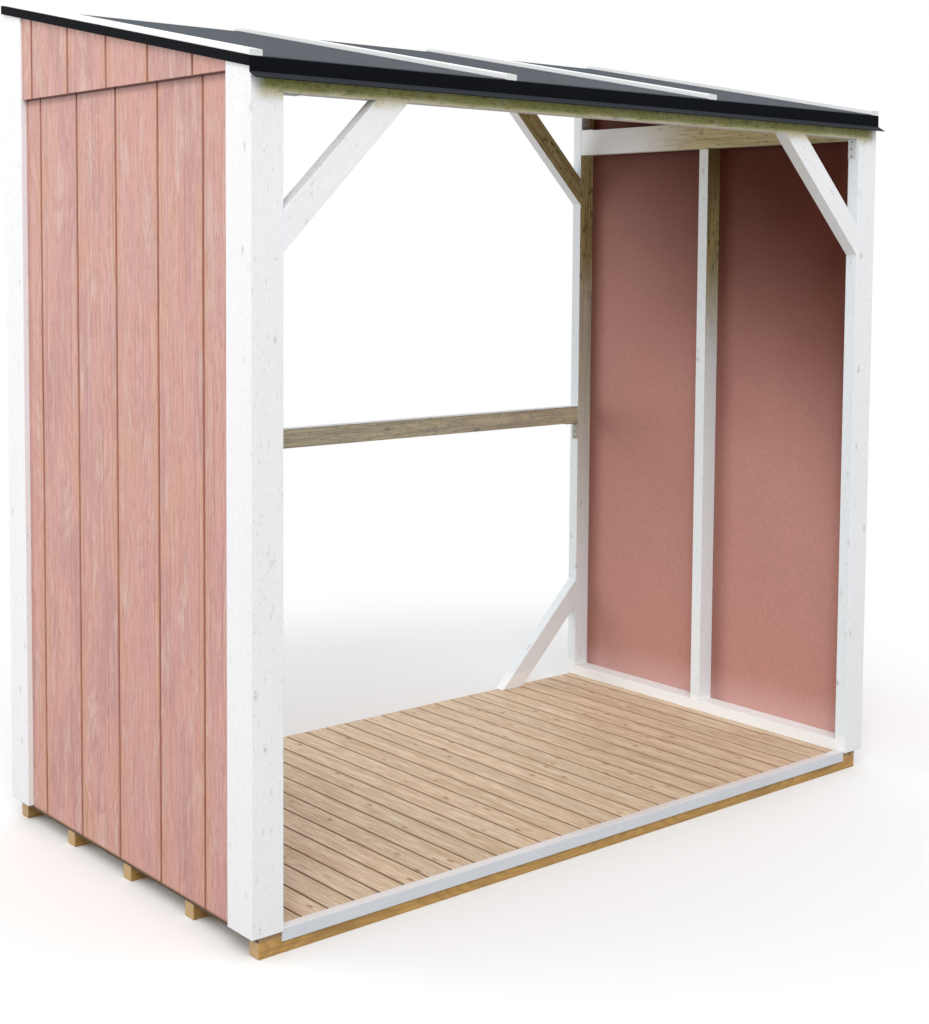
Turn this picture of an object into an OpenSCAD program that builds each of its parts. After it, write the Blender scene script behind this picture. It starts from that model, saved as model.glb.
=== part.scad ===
// Open-fronted log store with a single-pitch felt roof, a slatted floor on
// sleepers, clad side walls and an open braced back.
//
// Origin: centre of the footprint at ground level, on the underside of the
// middle sleeper. +X runs to the right along the front, +Y to the back, +Z up.

/* [Overall size] */
// Width across the outer faces of the corner boards
body_w = 2600; // [1500:10:3200]
// Depth from the front faces of the posts to the back faces
frame_d = 1432; // [900:4:2000]
// Height of the underside of the front beam above the ground
eaves_h = 2249; // [1800:1:2500]
// Pitch of the roof, rising towards the back, in degrees
roof_pitch = 10.85; // [8:0.05:14]

/* [Floor] */
// Height of a sleeper
sleeper_h = 45; // [35:1:80]
// Thickness of a sleeper from front to back
sleeper_t = 45; // [35:1:80]
// Distance between the middle sleeper and its neighbours, centre to centre
sleeper_pitch = 354; // [200:1:360]
// Thickness of the floor boards
deck_t = 18; // [12:1:30]
// Setback of the floor from the frame's front and back faces
deck_inset = 12; // [6:1:30]
// Height of the metal edging along the front of the floor
edging_h = 36; // [24:1:45]
// Depth of the metal edging on top of the floor
edging_d = 32; // [20:1:38]
// Thickness of the metal edging
edging_t = 6; // [2:0.5:6]

/* [Frame timber] */
// Thickness of the posts and studs, from front to back
stud_t = 45; // [38:1:60]
// Width of the posts and studs, square to the side walls
stud_w = 70; // [60:1:95]
// Height of the bottom plates of the side walls
plate_h = 40; // [30:1:60]
// Height of the rails along the top of the side walls
side_rail_h = 100; // [70:1:140]
// Step of those rails' undersides below the underside of the front beam
side_rail_drop = 4; // [0:1:20]
// Thickness of those rails
side_rail_t = 45; // [35:1:60]
// Height of the front beam at its front face
front_beam_h = 68; // [60:1:90]
// Height of the back beam at its front face
back_beam_h = 137; // [60:1:180]
// Height of the underside of the back rail above the ground
back_rail_z = 1132; // [700:1:1500]
// Height of the back rail
back_rail_h = 70; // [45:1:95]
// Reach of each brace along the post and along the beam
brace_reach = 405; // [250:5:500]
// Width of a brace
brace_w = 76; // [45:1:95]
// Height of the rafters
rafter_h = 68; // [45:1:90]

/* [Cladding] */
// Thickness of the corner boards
corner_board_t = 28; // [18:1:40]
// Width of the corner boards
corner_board_w = 120; // [95:1:150]
// Thickness of the wall sheets
sheet_t = 10; // [6:1:14]
// Thickness of the gable sheets
gable_sheet_t = 12; // [6:1:14]
// Height of the gable sheets' lower edge above the underside of the front beam
gable_rise = 59; // [20:1:75]
// Overlap of the wall sheets down over the floor's edge
sheet_drop = 3; // [0:1:10]

/* [Roof] */
// Overhang of the roof boards past the corner boards at each side
roof_side_over = 4; // [0:1:40]
// Overhang of the roof boards past the frame at the front and back
roof_end_over = 2; // [0:1:40]
// Thickness of the roof boards
roof_deck_t = 15; // [12:1:24]
// Thickness of the roofing felt
felt_t = 3; // [2.5:0.5:6]
// Thickness of the edge flashings
flashing_t = 2; // [1:0.5:2.5]
// Height of the side and back flashings
flashing_h = 26; // [20:1:40]
// Height of the upright face of the eaves flashing
eaves_flashing_h = 38; // [30:1:50]
// Reach of the eaves flashing's drip lip to the front
lip_out = 27; // [10:1:40]
// Fall of the drip lip
lip_fall = 16; // [5:1:25]
// Width of the part of a flashing that lies on the roof boards
flashing_lap = 22; // [10:1:30]
// Width of a roof batten
batten_w = 40; // [30:1:60]
// Height of a roof batten
batten_h = 16; // [12:1:30]
// Number of roof battens
batten_count = 4; // [3:1:6]

/* [Angle brackets] */
// Length of each leg of an angle bracket
bracket_leg = 67; // [40:1:80]
// Width of an angle bracket
bracket_w = 30; // [20:1:40]
// Thickness of the bracket's metal
bracket_t = 2.5; // [1.5:0.5:4]

/* [Hidden] */

LEFT = -1;
RIGHT = 1;

// Planes across the width, counted outwards from the centre line
half_w = body_w / 2;
frame_x = half_w - corner_board_t;
inner_x = frame_x - stud_w;
sheet_x = frame_x + sheet_t;
roof_x = half_w + roof_side_over;
lap_x = half_w + roof_side_over - flashing_lap;

// Planes from front to back
front_y = -frame_d / 2;
back_y = frame_d / 2;
post_y = back_y - stud_t;
deck_y = back_y - deck_inset;
sheet_y = back_y - corner_board_w;
roof_y = back_y + roof_end_over;
lap_y = back_y + roof_end_over - flashing_lap;

// Levels
floor_z = sleeper_h + deck_t;
side_rail_z = eaves_h - side_rail_drop;
gable_z = eaves_h + gable_rise;
roof_slope = tan(roof_pitch);
roof_deck_v = roof_deck_t / cos(roof_pitch);
felt_v = felt_t / cos(roof_pitch);
flashing_v = flashing_t / cos(roof_pitch);
batten_v = batten_h / cos(roof_pitch);
rafter_v = rafter_h / cos(roof_pitch);
back_beam_z = roof_under(post_y) - back_beam_h;

// Rafters stand under the inner battens, at equal steps across the roof
batten_span = 2 * (roof_x + flashing_t) - batten_w;
batten_step = batten_span / (batten_count - 1);
rafter_x = batten_span / 2 - batten_step;

wood_white = "whitesmoke";
wood_brown = "peru";
cladding_pink = "rosybrown";
flashing_black = "#17181a";

// Height of the underside of the roof boards at a distance y from the centre
function roof_under(y) = eaves_h + front_beam_h + (y - front_y) * roof_slope;

// Extrudes an outline drawn in Y and Z from x0 to x1
module across(x0, x1) {
    translate([x0, 0, 0]) rotate([90, 0, 90]) linear_extrude(x1 - x0) children();
}

// Extrudes an outline drawn in X and Z from y0 to y1
module along(y0, y1) {
    translate([0, y1, 0]) rotate([90, 0, 0]) linear_extrude(y1 - y0) children();
}

// Plain block between two corners
module block(low, high) {
    translate(low) cube(high - low);
}

// Block at one side, with x counted outwards from the centre line
module side_block(side, x0, x1, y0, y1, z0, z1) {
    block([min(side * x0, side * x1), y0, z0], [max(side * x0, side * x1), y1, z1]);
}

// The same block, cut off along the underside of the roof boards
module side_block_to_roof(side, x0, x1, y0, y1, z0) {
    across(min(side * x0, side * x1), max(side * x0, side * x1))
        polygon([[y0, z0], [y1, z0], [y1, roof_under(y1)], [y0, roof_under(y0)]]);
}

// Slab that follows the roof, between two heights above its underside
module roof_slab(x0, x1, y0, y1, low, high) {
    across(x0, x1)
        polygon([
            [y0, roof_under(y0) + low], [y1, roof_under(y1) + low],
            [y1, roof_under(y1) + high], [y0, roof_under(y0) + high]
        ]);
}

// Sleeper across the whole width, centred at y
module sleeper(y) {
    color(wood_brown)
        block([-frame_x, y - sleeper_t / 2, 0], [frame_x, y + sleeper_t / 2, sleeper_h]);
}

module floor_deck() {
    color("burlywood") block([-frame_x, -deck_y, sleeper_h], [frame_x, deck_y, floor_z]);
}

// Angle between the posts that covers the floor's front edge
module front_edging() {
    front = -deck_y - edging_t;
    top = floor_z + edging_t;
    color("lightsteelblue") across(-inner_x, inner_x)
        polygon([
            [front, top - edging_h], [-deck_y, top - edging_h], [-deck_y, floor_z],
            [front + edging_d, floor_z], [front + edging_d, top], [front, top]
        ]);
}

module plate(side) {
    color(wood_white)
        side_block(side, inner_x, frame_x, -post_y, post_y, floor_z, floor_z + plate_h);
}

module stud(side) {
    color(wood_white)
        side_block(side, inner_x, frame_x, -stud_t / 2, stud_t / 2, floor_z + plate_h, side_rail_z);
}

// Rail along the top of a side wall, bevelled where it meets the roof
module side_rail(side) {
    color(wood_white) intersection() {
        side_block(side, inner_x, inner_x + side_rail_t, -post_y, post_y,
            side_rail_z, side_rail_z + side_rail_h);
        side_block_to_roof(side, inner_x, inner_x + side_rail_t, -post_y, post_y, 0);
    }
}

module post_front(side) {
    color(wood_white) side_block(side, inner_x, frame_x, front_y, -post_y, floor_z, eaves_h);
}

module post_back(side) {
    color(wood_white) side_block(side, inner_x, frame_x, post_y, back_y, floor_z, back_beam_z);
}

module corner_board_front(side) {
    color(wood_white) side_block_to_roof(side, frame_x, half_w, front_y, -sheet_y, floor_z);
}

module corner_board_back(side) {
    color(wood_white) side_block_to_roof(side, frame_x, half_w, sheet_y, back_y, floor_z);
}

module wall_sheet(side) {
    color(cladding_pink)
        side_block_to_roof(side, frame_x, sheet_x, -sheet_y, sheet_y, floor_z - sheet_drop);
}

module gable_sheet(side) {
    color(cladding_pink)
        side_block_to_roof(side, sheet_x, sheet_x + gable_sheet_t, -sheet_y, sheet_y, gable_z);
}

module front_beam() {
    color("darkkhaki") across(-frame_x, frame_x)
        polygon([
            [front_y, eaves_h], [-post_y, eaves_h],
            [-post_y, roof_under(-post_y)], [front_y, roof_under(front_y)]
        ]);
}

module back_beam() {
    color(wood_white) across(-frame_x, frame_x)
        polygon([
            [post_y, back_beam_z], [back_y, back_beam_z],
            [back_y, roof_under(back_y)], [post_y, roof_under(post_y)]
        ]);
}

module back_rail() {
    color("tan")
        block([-inner_x, post_y, back_rail_z], [inner_x, back_y, back_rail_z + back_rail_h]);
}

// Diagonal brace at one side in a corner at height z. up is 1 for a brace that
// rises to a beam above it and -1 for one that falls to the floor below it.
module brace(side, y0, z, up) {
    far = brace_reach;
    near = brace_reach - brace_w * sqrt(2);
    color(wood_white) along(y0, y0 + stud_t)
        polygon([
            [side * inner_x, z - up * far], [side * (inner_x - far), z],
            [side * (inner_x - near), z], [side * inner_x, z - up * near]
        ]);
}

module rafter(side) {
    color(wood_white)
        roof_slab(side * rafter_x - stud_t / 2, side * rafter_x + stud_t / 2,
            -post_y, post_y, -rafter_v, 0);
}

module roof_deck() {
    color("burlywood") roof_slab(-roof_x, roof_x, -roof_y, roof_y, 0, roof_deck_v);
}

module roof_felt() {
    color("slategray")
        roof_slab(-lap_x, lap_x, -lap_y, lap_y, roof_deck_v, roof_deck_v + felt_v);
}

// White battens that run down the slope on top of the felt
module roof_battens() {
    low = roof_deck_v + felt_v;
    color("white")
        for (i = [0 : batten_count - 1]) {
            x = -batten_span / 2 + i * batten_step;
            roof_slab(x - batten_w / 2, x + batten_w / 2, -roof_y, roof_y, low, low + batten_v);
        }
}

// Side flashing: an upright leg over the boards' edge and a lap on the boards
module verge_flashing(side) {
    top = roof_deck_v + flashing_v;
    leg = [side * roof_x, side * (roof_x + flashing_t)];
    lap = [side * lap_x, side * roof_x];
    color(flashing_black) union() {
        roof_slab(min(leg), max(leg), -roof_y, roof_y, top - flashing_h, top);
        roof_slab(min(lap), max(lap), -lap_y, lap_y, roof_deck_v, top);
    }
}

// Front flashing, with a drip lip kicked out below its upright face
module eaves_flashing() {
    face_y = -roof_y - flashing_t;
    top = roof_under(face_y) + roof_deck_v + flashing_v;
    lip_z = top - eaves_flashing_h;
    color(flashing_black) union() {
        across(-roof_x - flashing_t, roof_x + flashing_t)
            polygon([
                [face_y, top], [face_y, lip_z], [face_y - lip_out, lip_z - lip_fall],
                [face_y - lip_out, lip_z - lip_fall - flashing_t],
                [-roof_y, lip_z - flashing_t], [-roof_y, top + flashing_t * roof_slope]
            ]);
        roof_slab(-roof_x, roof_x, -roof_y, -lap_y, roof_deck_v, roof_deck_v + flashing_v);
    }
}

module back_flashing() {
    top = roof_deck_v + flashing_v;
    color(flashing_black) union() {
        roof_slab(-roof_x - flashing_t, roof_x + flashing_t, roof_y, roof_y + flashing_t,
            top - flashing_h, top);
        roof_slab(-roof_x, roof_x, lap_y, roof_y, roof_deck_v, top);
    }
}

// Bracket in the corner between a post's inner face and a timber above it
module bracket_under(side, y, z) {
    side_block(side, inner_x - bracket_t, inner_x, y, y + bracket_w, z - bracket_leg, z);
    side_block(side, inner_x - bracket_leg, inner_x - bracket_t, y, y + bracket_w,
        z - bracket_t, z);
}

// Bracket in the corner between a side rail's top and the back post
module bracket_on_rail(side) {
    z = side_rail_z + side_rail_h;
    x1 = inner_x + side_rail_t;
    side_block(side, inner_x, x1, post_y - bracket_t, post_y, z, z + bracket_leg);
    side_block(side, inner_x, x1, post_y - bracket_leg, post_y - bracket_t, z, z + bracket_t);
}

module angle_brackets() {
    color("silver")
        for (side = [LEFT, RIGHT]) {
            union() bracket_under(side, -post_y - bracket_w, eaves_h);
            union() bracket_under(side, post_y, back_rail_z);
            union() bracket_on_rail(side);
        }
}

sleeper(-deck_y + sleeper_t / 2);  // sleeper_front
sleeper(-sleeper_pitch);  // sleeper_front_inner
sleeper(0);  // sleeper_middle
sleeper(sleeper_pitch);  // sleeper_back_inner
sleeper(deck_y - sleeper_t / 2);  // sleeper_back
floor_deck();
front_edging();
plate(LEFT);  // plate_left
plate(RIGHT);  // plate_right
stud(LEFT);  // stud_left
stud(RIGHT);  // stud_right
side_rail(LEFT);  // side_rail_left
side_rail(RIGHT);  // side_rail_right
post_front(LEFT);  // post_front_left
post_front(RIGHT);  // post_front_right
post_back(LEFT);  // post_back_left
post_back(RIGHT);  // post_back_right
corner_board_front(LEFT);  // corner_board_front_left
corner_board_front(RIGHT);  // corner_board_front_right
corner_board_back(LEFT);  // corner_board_back_left
corner_board_back(RIGHT);  // corner_board_back_right
wall_sheet(LEFT);  // wall_sheet_left
wall_sheet(RIGHT);  // wall_sheet_right
gable_sheet(LEFT);  // gable_sheet_left
gable_sheet(RIGHT);  // gable_sheet_right
front_beam();
back_beam();
back_rail();
brace(LEFT, front_y, eaves_h, 1);  // brace_front_left
brace(RIGHT, front_y, eaves_h, 1);  // brace_front_right
brace(LEFT, post_y, back_beam_z, 1);  // brace_back_upper_left
brace(RIGHT, post_y, back_beam_z, 1);  // brace_back_upper_right
brace(LEFT, post_y, floor_z, -1);  // brace_back_lower_left
brace(RIGHT, post_y, floor_z, -1);  // brace_back_lower_right
rafter(LEFT);  // rafter_left
rafter(RIGHT);  // rafter_right
roof_deck();
roof_felt();
roof_battens();
verge_flashing(LEFT);  // verge_flashing_left
verge_flashing(RIGHT);  // verge_flashing_right
eaves_flashing();
back_flashing();
angle_brackets();
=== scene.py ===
"""Log store: the finished look of each piece, built around the packed CAD frame.

All lengths are in metres, in the frame of the CAD part: origin on the ground at
the centre of the footprint, +X to the right along the open front, +Y to the back.
"""

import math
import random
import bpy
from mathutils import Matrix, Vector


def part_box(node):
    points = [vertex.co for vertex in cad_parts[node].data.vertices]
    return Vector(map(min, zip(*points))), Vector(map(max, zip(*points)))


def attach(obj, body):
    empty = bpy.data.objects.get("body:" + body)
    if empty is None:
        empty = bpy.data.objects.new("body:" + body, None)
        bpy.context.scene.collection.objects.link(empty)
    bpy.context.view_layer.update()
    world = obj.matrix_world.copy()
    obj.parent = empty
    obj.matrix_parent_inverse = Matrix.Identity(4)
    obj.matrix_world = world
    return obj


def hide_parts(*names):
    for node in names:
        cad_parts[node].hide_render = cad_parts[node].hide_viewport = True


bl_info = {
    "name": "Log Store",
    "version": (1, 0, 0),
    "blender": (4, 5, 0),
    "location": "View3D > Sidebar > Log Store",
    "description": "Builds an open-fronted log store piece by piece around its CAD frame",
    "category": "Add Mesh",
}

import bmesh
import bpy
from bpy.props import FloatProperty, FloatVectorProperty, IntProperty, PointerProperty
from mathutils import Matrix, Vector

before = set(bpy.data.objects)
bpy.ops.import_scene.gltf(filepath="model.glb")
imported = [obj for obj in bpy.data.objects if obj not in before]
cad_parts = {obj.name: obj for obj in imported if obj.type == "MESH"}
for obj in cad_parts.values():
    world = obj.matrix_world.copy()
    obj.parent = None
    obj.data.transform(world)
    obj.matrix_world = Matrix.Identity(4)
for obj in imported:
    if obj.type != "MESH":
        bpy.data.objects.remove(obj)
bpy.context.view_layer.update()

LEFT, RIGHT = -1, 1
SIDES = {"left": LEFT, "right": RIGHT}
X, Y, Z = Vector((1, 0, 0)), Vector((0, 1, 0)), Vector((0, 0, 1))


def roof_underside():
    """Slope of the roof, and the height of its boards' underside at the middle."""
    corners = [v.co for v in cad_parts["roof_deck"].data.vertices]
    ends = []
    for y in (min(c.y for c in corners), max(c.y for c in corners)):
        ends.append((y, min(c.z for c in corners if abs(c.y - y) < 1e-4)))
    (front, low), (back, high) = ends
    slope = (high - low) / (back - front)
    return slope, low - slope * front


ROOF_SLOPE, ROOF_MIDDLE = roof_underside()


# ---------------------------------------------------------------- settings


def colour(label, default, text):
    """A colour setting, in linear light."""
    return FloatVectorProperty(
        name=label, description=text, default=default, subtype="COLOR", size=3, min=0, max=1
    )


def length(label, default, text, low=0.0, high=5.0):
    """A length setting, in metres."""
    return FloatProperty(
        name=label, description=text, default=default, min=low, max=high,
        unit="LENGTH", subtype="DISTANCE",
    )


def share(label, default, text, high=1.0):
    """A strength setting from nothing upwards."""
    return FloatProperty(name=label, description=text, default=default, min=0, max=high)


class TimberSettings(bpy.types.PropertyGroup):
    """Sizes and colours of the frame timbers."""

    edge_round: length("Edge rounding", 0.0016, "Radius of a planed timber's edges", 0, 0.005)
    board_round: length("Board rounding", 0.0022, "Radius of a corner board's edges", 0, 0.005)
    white: colour("White paint", (0.865, 0.87, 0.885), "Paint on the frame and the corner boards")
    # Painted light: a cooler white on the inner faces, against the warm bounce light there
    bounce_cancel_white: colour("Inner paint", (0.84, 0.915, 0.96), "Cooler paint on the inner faces")
    knot: colour("Knots", (0.24, 0.24, 0.235), "Knots that show through the white paint")
    # Painted shade: a khaki tint for the timber in the roof's shade
    roof_shade_tint: colour("Shaded timber", (0.61, 0.54, 0.255), "Thinly painted timber under the roof")
    # Painted green reflected light and shade under the eaves
    green_spill: colour("Moss", (0.255, 0.26, 0.06), "Green growth under the drip edge")
    sleeper: colour("Sleeper", (0.57, 0.33, 0.1), "Brown treated sleepers")
    sleeper_end: colour("Sleeper ends", (0.6, 0.42, 0.215), "Sawn ends of the sleepers")
    rafter: colour("Raw timber", (0.6, 0.45, 0.28), "Unpainted rafters and roof boards")


class FloorSettings(bpy.types.PropertyGroup):
    """Sizes and colours of the floor."""

    pitch: length("Board pitch", 0.0873, "Distance from one floor board to the next", 0.05, 0.2)
    first_gap: length("First gap", -1.1983, "Place of the first gap across the floor", -1.27, 0)
    gap: length("Gap", 0.0044, "Gap between two floor boards", 0.001, 0.02)
    edge_round: length("Edge rounding", 0.0022, "Radius of a floor board's edges", 0, 0.005)
    board: colour("Board", (0.7, 0.55, 0.38), "Yellower pine boards")
    board_warm: colour("Warm board", (0.71, 0.54, 0.375), "Pinker pine boards")
    dark_grain: colour("Grain", (0.42, 0.285, 0.175), "Dark grain of the pine boards")
    # Painted shade: the boards darker along their rounded edges
    edge: colour("Board edges", (0.2, 0.11, 0.055), "Dirt along the edges of the boards")
    knot: colour("Knots", (0.17, 0.07, 0.028), "Knots in the pine boards")
    edging: colour("Edging", (0.67, 0.695, 0.735), "Metal edging along the floor's front")
    seed: IntProperty(name="Seed", description="Choice of grain for the floor boards", default=7)


class CladdingSettings(bpy.types.PropertyGroup):
    """Sizes and colours of the side walls."""

    pitch: length("Groove pitch", 0.2385, "Distance from one groove to the next", 0.05, 0.5)
    wall_groove: length("First wall groove", -0.456, "Place of the first groove below", -0.6, 0.6)
    gable_groove: length("First gable groove", -0.423, "Place of the first groove above", -0.6, 0.6)
    groove_width: length("Groove width", 0.010, "Width of a groove", 0.002, 0.02)
    groove_depth: length("Groove depth", 0.005, "Depth of a groove", 0.001, 0.008)
    pink: colour("Stain", (0.635, 0.335, 0.29), "Salmon stain in the middle of a board")
    brown: colour("Browner stain", (0.61, 0.33, 0.225), "Stain beside the grooves")
    pale: colour("Pale streaks", (0.69, 0.475, 0.41), "Worn streaks")
    dusky: colour("Dusky patches", (0.54, 0.29, 0.27), "Patches with a violet cast")
    mark: colour("Marks", (0.36, 0.15, 0.11), "Short dark marks along the grain")
    # Painted shade in the grooves
    groove: colour("Groove", (0.31, 0.09, 0.05), "Stain in the grooves")
    inside: colour("Inside", (0.53, 0.275, 0.235), "Smooth inner faces of the walls")


class RoofSettings(bpy.types.PropertyGroup):
    """Sizes and colours of the roof."""

    board_pitch: length("Board pitch", 0.095, "Width of a roof board", 0.05, 0.2)
    joint: length("Joint", 0.0008, "Joint between two roof boards", 0.0001, 0.005)
    board_round: length("Board rounding", 0.003, "Radius of a roof board's edges", 0, 0.005)
    batten_round: length("Batten rounding", 0.0025, "Radius of a batten's edges", 0, 0.005)
    fold_round: length("Fold rounding", 0.0007, "Radius of the flashings' folds", 0, 0.001)
    felt: colour("Felt", (0.066, 0.079, 0.094), "Mineral felt")
    flashing: colour("Flashing", (0.006, 0.007, 0.009), "Coated edge flashings")
    batten: colour("Batten", (0.95, 0.95, 0.955), "Painted battens")
    batten_end: colour("Batten ends", (0.68, 0.71, 0.69), "Sawn ends of the battens")
    seed: IntProperty(name="Seed", description="Choice of grain for the roof boards", default=3)


class FittingSettings(bpy.types.PropertyGroup):
    """Sizes and colours of the angle brackets."""

    screw_radius: length("Screw radius", 0.0042, "Radius of a screw's head", 0.002, 0.008)
    screw_height: length("Screw height", 0.0016, "Height of a screw's head", 0.0005, 0.004)
    corner_round: length("Corner rounding", 0.0008, "Radius of a bracket's edges", 0, 0.001)
    hole_radius: length("Hole radius", 0.0034, "Radius of a nail hole", 0.001, 0.006)
    zinc: colour("Zinc", (0.36, 0.35, 0.305), "Galvanised brackets")
    screw: colour("Screws", (0.5, 0.5, 0.48), "Plated screws")


class StageSettings(bpy.types.PropertyGroup):
    """Camera, light and floor of the stage."""

    camera_place: FloatVectorProperty(
        name="Camera", description="Place of the camera", default=(-3.5319, -4.191, 1.8587),
        size=3, unit="LENGTH", subtype="TRANSLATION",
    )
    camera_turn: FloatVectorProperty(
        name="Camera turn", description="Rotation of the camera", size=3, subtype="EULER",
        default=(math.radians(86.113), math.radians(-0.431), math.radians(-40.179)),
    )
    lens: FloatProperty(
        name="Lens", description="Focal length for a 36 mm sensor, in millimetres", default=57.135
    )
    shift_x: FloatProperty(name="Shift across", description="Sideways lens shift", default=0.0)
    shift_y: FloatProperty(name="Shift up", description="Upwards lens shift", default=-0.15)
    ambient: share("Ambient light", 0.9, "Strength of the even light from all round", 5)
    key: share("Key light", 2750.0, "Power of the large light at the front left, in watts", 9000)
    back_light: share("Back light", 500.0, "Power of the light at the back left, in watts", 5000)
    floor: colour("Floor", (0.9, 0.9, 0.9), "Pale floor")
    floor_bounce: share("Floor bounce", 0.42, "Share of the light the floor throws back up", 1)
    clear_from: length("Plain from", 1.9, "Distance at which the floor turns to plain white", 0, 20)
    clear_to: length("Plain to", 3.4, "Distance from which the floor is plain white", 0, 20)


# ------------------------------------------------------------ node helpers


def sign(operation, turned=False):
    """A method that adds a math node for a sign such as + or <."""
    def apply(self, other=0.0):
        return calc(operation, other, self) if turned else calc(operation, self, other)

    return apply


class Value:
    """What a node puts out. Arithmetic on it adds math nodes to the same tree."""

    def __init__(self, socket):
        self.socket = socket
        self.tree = socket.id_data

    __add__, __sub__, __mul__ = sign("ADD"), sign("SUBTRACT"), sign("MULTIPLY")
    __truediv__, __pow__, __abs__ = sign("DIVIDE"), sign("POWER"), sign("ABSOLUTE")
    __rsub__, __rtruediv__ = sign("SUBTRACT", True), sign("DIVIDE", True)
    __gt__, __lt__ = sign("GREATER_THAN"), sign("LESS_THAN")

    def band(self, start, end, low=0.0, high=1.0):
        """Smooth step from low at start to high at end, where end may be the smaller."""
        if start > end:
            start, end, low, high = end, start, high, low
        return add(self.tree, "ShaderNodeMapRange", {0: self, 1: start, 2: end, 3: low, 4: high},
                   interpolation_type="SMOOTHSTEP")

    def noise(self, scale=1.0, detail=2.0, rough=0.5, out="Fac"):
        """Noise at this place."""
        return add(self.tree, "ShaderNodeTexNoise", {
            "Vector": self, "Scale": scale, "Detail": detail, "Roughness": rough}, out)

    def vector(self, operation, other):
        return add(self.tree, "ShaderNodeVectorMath", {0: self, 1: other}, operation=operation)

    def scaled(self, *factors):
        """This vector with each of its parts multiplied by its own factor."""
        return self.vector("MULTIPLY", factors)

    def parts(self):
        """The three parts of this vector."""
        split = add(self.tree, "ShaderNodeSeparateXYZ", {0: self})
        return tuple(outputs_of(split.socket.node).values())


def outputs_of(node):
    """All that a node puts out, by name."""
    return {socket.name: Value(socket) for socket in node.outputs}


def add(tree, kind, inputs=(), out=0, **modes):
    """Adds a node with its modes and its inputs, and gives the output asked for, if any."""
    made = tree.nodes.new(kind)
    for name, value in modes.items():
        setattr(made, name, value)
    for key, value in dict(inputs).items():
        if isinstance(value, Value):
            tree.links.new(value.socket, made.inputs[key])
        else:
            made.inputs[key].default_value = value
    return Value(made.outputs[out]) if made.outputs else None


def tree_of(*values):
    """The node tree that the first of these sockets is in."""
    return next(value.tree for value in values if isinstance(value, Value))


def calc(operation, a, b=0.0):
    """A math node on one or two values."""
    return add(tree_of(a, b), "ShaderNodeMath", {0: a, 1: b}, operation=operation)


def most(a, b):
    return calc("MAXIMUM", a, b)


def least(a, b):
    return calc("MINIMUM", a, b)


def joined(x, y, z):
    """A vector from its three parts."""
    return add(tree_of(x, y, z), "ShaderNodeCombineXYZ", {0: x, 1: y, 2: z})


def mix(share_of_b, a, b, blend="MIX"):
    """Colour a with b over it."""
    a, b = (value if isinstance(value, Value) else (*value[:3], 1.0) for value in (a, b))
    return add(tree_of(share_of_b, a, b), "ShaderNodeMix", {0: share_of_b, 6: a, 7: b}, 2,
               data_type="RGBA", blend_type=blend)


def coats(base, *layers):
    """A colour with others laid over it in turn, each with its share."""
    for share_of_it, over in layers:
        base = mix(share_of_it, base, over)
    return base


def tinted(base, lift):
    """A colour made lighter or darker by a factor."""
    return mix(1.0, base, joined(lift, lift, lift), "MULTIPLY")


FLOAT, VECTOR, INTEGER = "NodeSocketFloat", "NodeSocketVector", "NodeSocketInt"
GEOMETRY, MATERIAL = "NodeSocketGeometry", "NodeSocketMaterial"


def new_group(name, kind, inputs, outputs):
    """New node group, whose inputs are given by a default number or by a socket type.

    Gives its tree, its input values by name, and a function that puts out its results.
    """
    tree = bpy.data.node_groups.new(name, kind)
    for label, default in inputs.items():
        plain = isinstance(default, str)
        socket = default if plain else INTEGER if isinstance(default, int) else FLOAT
        made = tree.interface.new_socket(label, in_out="INPUT", socket_type=socket)
        if not plain:
            made.default_value = default
    for label in outputs:
        socket = GEOMETRY if kind == "GeometryNodeTree" else FLOAT
        tree.interface.new_socket(label, in_out="OUTPUT", socket_type=socket)
    entry = outputs_of(tree.nodes.new("NodeGroupInput"))
    leave = tree.nodes.new("NodeGroupOutput")

    def put_out(**results):
        for label, value in results.items():
            tree.links.new(value.socket, leave.inputs[label.replace("_", " ")])
        return tree

    return tree, entry, put_out


def once(maker):
    """Makes a material or a group the first time and gives the same one afterwards."""
    made = {}

    def give(*args):
        if args not in made:
            made[args] = maker(*args)
        return made[args]

    return give


# ----------------------------------------------------------- shader groups


@once
def grain_group():
    """Timber grain: growth rings round a wandering pith, fine streaks along it, and knots."""
    tree, entry, put_out = new_group(
        "Timber Grain", "ShaderNodeTree",
        {"Vector": VECTOR, "Ring Spacing": 0.004, "Knot Spacing": 0.2, "Knot Size": 0.08},
        ("Rings", "Streaks", "Knots", "Knot Core"),
    )
    place = entry["Vector"]
    cells = add(tree, "ShaderNodeVectorMath", {
        0: place.scaled(0.45, 1.0, 1.0), "Scale": 1.0 / entry["Knot Spacing"]}, operation="SCALE")
    cells = cells.vector("ADD", place.noise(28.0, 2.0, out="Color").scaled(0.06, 0.06, 0.06))
    nearest = add(tree, "ShaderNodeTexVoronoi", {"Vector": cells, "Scale": 1.0}, "Distance")
    inside = 1.0 - nearest / entry["Knot Size"]

    _, across, deep = place.parts()
    wander = place.scaled(1.5, 0.6, 0.6).noise(1.0, 1.0, out="Color")
    sway_x, sway_y, _ = wander.vector("SUBTRACT", (0.5, 0.5, 0.5)).parts()
    across = across + sway_x * 0.09
    deep = deep + (sway_y * 0.12 + 0.03)
    bulge = nearest.band(0.42, 0.0) ** 2.0 * 0.018
    rough = place.scaled(5, 45, 45).noise(1.0, 2.0) * 0.0035
    radius = calc("SQRT", across * across + deep * deep) + bulge + rough
    turn = calc("FRACT", radius / entry["Ring Spacing"])

    fine = place.scaled(7, 330, 330).noise(1.0, 3.0, 0.6)
    broad = place.scaled(2.2, 60, 60).noise(1.0, 2.0, 0.5)
    return put_out(
        Rings=turn.band(0.25, 0.85) * turn.band(1.0, 0.9), Streaks=fine * 0.6 + broad * 0.4,
        Knots=inside.band(0.0, 0.35), Knot_Core=inside.band(0.35, 0.7),
    )


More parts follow.
